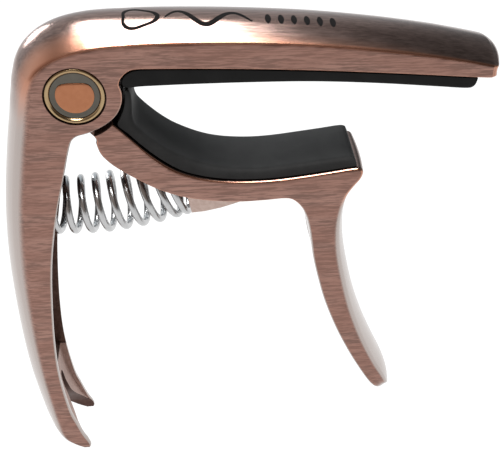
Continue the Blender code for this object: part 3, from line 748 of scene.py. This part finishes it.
spring_tree = bpy.data.node_groups.new("coil spring", 'GeometryNodeTree')
sockets = {}
for label, kind, value in (("Wire Radius", 'NodeSocketFloat', WIRE_RADIUS * MM),
                           ("Coil Radius", 'NodeSocketFloat', COIL_RADIUS * MM),
                           ("Pitch", 'NodeSocketFloat', COIL_PITCH * MM),
                           ("Turns", 'NodeSocketFloat', SPRING_TURNS),
                           ("Start", 'NodeSocketFloat', SPRING_START * MM),
                           ("Finish", 'NodeSocketMaterial', None)):
    item = spring_tree.interface.new_socket(label, in_out='INPUT', socket_type=kind)
    sockets[label] = (item.identifier, value)
spring_tree.interface.new_socket("Geometry", in_out='OUTPUT', socket_type='NodeSocketGeometry')
given = node(spring_tree, 'NodeGroupInput')
turns = given.out("Turns")
pitch = given.out("Pitch")
wire = given.out("Wire Radius")
count = turns * POINTS_PER_TURN
line = node(spring_tree, 'GeometryNodeMeshLine', None,
            {'Count': count.maths('FLOOR'), 'Offset': (0.0001, 0.0, 0.0)})
path = node(spring_tree, 'GeometryNodeMeshToCurve', None, {'Mesh': line.out('Mesh')})
turn = node(spring_tree, 'GeometryNodeInputIndex').out() / POINTS_PER_TURN
closed = wire * 2.06
first = turn.maths('MINIMUM', 1.0)
middle = (turn - 1.0).maths('MAXIMUM', 0.0).maths('MINIMUM', turns - 2.0)
last = (turn - (turns - 1.0)).maths('MAXIMUM', 0.0)
along = given.out("Start") + closed * (first + last) + pitch * middle
angle = turn * (2 * math.pi) + SPRING_PHASE
bow = (along + 0.004).maths('MAXIMUM', 0.0)
height = bow * bow * 8.5 - 0.02735
slope = bow * 17.0
grown = ((along + 0.009) / 0.012).maths('MAXIMUM', 0.0).maths('MINIMUM', 1.0)
radius = given.out("Coil Radius") * (0.925 + grown * 0.075)
up = radius * angle.maths('COSINE')
out = radius * angle.maths('SINE') * -1.0
spot = node(spring_tree, 'ShaderNodeCombineXYZ', None,
            {'X': along - up * slope + HINGE.x, 'Y': out, 'Z': height + up + HINGE.z}).out()
placed = node(spring_tree, 'GeometryNodeSetPosition', None, {'Geometry': path.out('Curve'), 'Position': spot})
ring = node(spring_tree, 'GeometryNodeCurvePrimitiveCircle', {'mode': 'RADIUS'},
            {'Resolution': 20, 'Radius': wire})
tube = node(spring_tree, 'GeometryNodeCurveToMesh', None,
            {'Curve': placed.out('Geometry'), 'Profile Curve': ring.out('Curve'), 'Fill Caps': True})
real = node(spring_tree, 'GeometryNodeRealizeInstances', None, {'Geometry': tube.out('Mesh')})
dressed = node(spring_tree, 'GeometryNodeSetMaterial', None,
               {'Geometry': real.out('Geometry'), 'Material': given.out("Finish")})
done = spring_tree.nodes.new('NodeGroupOutput')
spring_tree.links.new(dressed.out('Geometry').socket, done.inputs['Geometry'])

mat, tree, shader, where = new_material("plated spring wire", Metallic=1.0)
drawn = grain(tree, where, (1500.0, 1500.0, 1500.0), 3.0)
feed(tree, shader, Base_Color=blend_colour(tree, drawn, (0.43, 0.43, 0.435), (0.56, 0.56, 0.56)),
     Roughness=0.20 + drawn * 0.10, Normal=bumped(tree, drawn, 0.00001, 0.2))
spring_holder = bpy.data.objects.new("spring_coil", bpy.data.meshes.new("spring holder"))
bpy.context.scene.collection.objects.link(spring_holder)
winding = spring_holder.modifiers.new("winding", 'NODES')
winding.node_group = spring_tree
for label, (identifier, value) in sockets.items():
    winding[identifier] = mat if label == "Finish" else value
wound = spring_holder.evaluated_get(bpy.context.evaluated_depsgraph_get())
coil_mesh = bpy.data.meshes.new_from_object(wound)
spring_holder.modifiers.clear()
spring_holder.data = coil_mesh
finish_faces(spring_holder, 50)
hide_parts("spring")
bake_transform(spring_holder)

# Stage: a plain pale floor below the capo, which hangs in the air as it would on a neck.
# It glows a little, so that it stays even and pale behind the object.
low = cad_box[0][2] - 0.022
floor_mesh = bpy.data.meshes.new("floor")
floor_mesh.from_pydata([(-3, -3, low), (3, -3, low), (3, 3, low), (-3, 3, low)], [], [(0, 1, 2, 3)])
floor = bpy.data.objects.new("floor", floor_mesh)
bpy.context.scene.collection.objects.link(floor)
mat, tree, shader, where = new_material("pale floor", Base_Color=(0.12, 0.12, 0.12, 1.0), Roughness=0.9,
                                        Emission_Color=(1.0, 1.0, 1.0, 1.0), Emission_Strength=0.86)
shader.inputs["Specular IOR Level"].default_value = 0.0
floor_mesh.materials.append(mat)

# Light: one long softbox overhead, a smaller one low at the left behind, and a pale room
# that is dimmer overhead and at the far right, and dimmer and warmer towards the camera.
world = bpy.data.worlds.new("room")
world.use_nodes = True
bpy.context.scene.world = world
tree = world.node_tree
heading = node(tree, 'ShaderNodeTexCoord').out('Generated')
parts = node(tree, 'ShaderNodeSeparateXYZ', None, {0: heading})
right_dim = parts.out('X').ramp(0.10, 0.50, 0.0, 0.74)
front = (parts.out('Y') * -1.0).ramp(0.0, 0.55)
top_dim = parts.out('Z').ramp(0.50, 0.90, 0.0, 0.62)
level = (1.0 - right_dim) * (1.0 - front * 0.72) * (1.0 - top_dim)
tone = blend_colour(tree, front, (0.80, 0.86, 0.90), (0.96, 0.78, 0.68))
glow = blend_colour(tree, level, (0.0, 0.0, 0.0), tone)
tree.links.new(glow.socket, tree.nodes["Background"].inputs["Color"])
tree.nodes["Background"].inputs["Strength"].default_value = 1.0


def softbox(name, spot, target, width, depth, power):
    """A rectangular light facing a point."""
    lamp = bpy.data.lights.new(name, 'AREA')
    lamp.shape = 'RECTANGLE'
    lamp.size = width
    lamp.size_y = depth
    lamp.energy = power
    obj = bpy.data.objects.new(name, lamp)
    obj.location = spot
    obj.rotation_euler = (Vector(target) - Vector(spot)).to_track_quat('-Z', 'Y').to_euler()
    bpy.context.scene.collection.objects.link(obj)
    return obj


softbox("overhead softbox", (-0.06, 0.0, 0.50), (0.0, 0.0, 0.04), 0.56, 0.24, 7.0)
softbox("left rear softbox", (-0.42, 0.48, 0.22), (-0.03, 0.0, 0.04), 0.20, 0.16, 2.5)

# Camera: at the distance of a product shot, a little to the left and 35 degrees up.
camera_data = bpy.data.cameras.new("camera")
camera_data.lens = 72.0
camera_data.sensor_width = 36.0
camera_data.clip_start = 0.01
camera = bpy.data.objects.new("camera", camera_data)
camera.location = HINGE + Vector((19.8, -166.0, 82.0)) * MM
camera.rotation_euler = (math.radians(55), 0.0, math.radians(-4))
bpy.context.scene.collection.objects.link(camera)
bpy.context.scene.camera = camera
bpy.context.scene.view_settings.view_transform = 'Standard'
